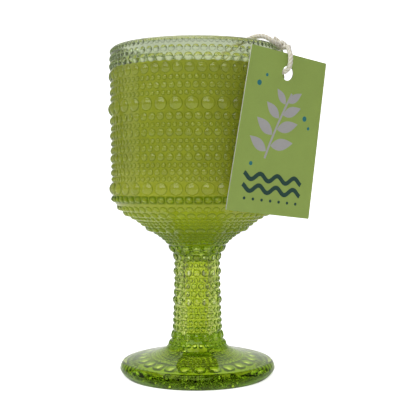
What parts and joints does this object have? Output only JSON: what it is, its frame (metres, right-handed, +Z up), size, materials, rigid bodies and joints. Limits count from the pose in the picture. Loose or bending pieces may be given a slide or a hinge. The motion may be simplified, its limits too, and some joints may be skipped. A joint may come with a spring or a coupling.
{
  "type": "scented candle in a footed glass",
  "caption": "Green wax candle poured into a beaded pressed-glass goblet on a domed foot, with a card hang tag on a cotton cord over the rim.",
  "frame": {"origin": "centre of the foot's contact ring on the surface it stands on", "axes": "+Z up along the goblet's axis, -Y towards the viewer, +X to the viewer's right where the tag hangs"},
  "size_m": [0.1082, 0.0894, 0.1679],
  "materials": {
    "green_glass": "clear olive-green pressed glass, polished, with rows of raised beads",
    "olive_wax": "opaque olive-green candle wax, satin, slightly waxy sheen",
    "cotton": "natural undyed cotton cord, twisted, matt",
    "printed_card": "leaf-green printed card, matt, with a pale core at its edges"
  },
  "bodies": {
    "root": {"goblet": "green_glass", "wax": "olive_wax", "wick": "cotton", "hitch": "cotton", "cord_rim": "cotton", "knot": "cotton", "cord_loop": "cotton", "tag": "printed_card"}
  },
  "joints": []
}
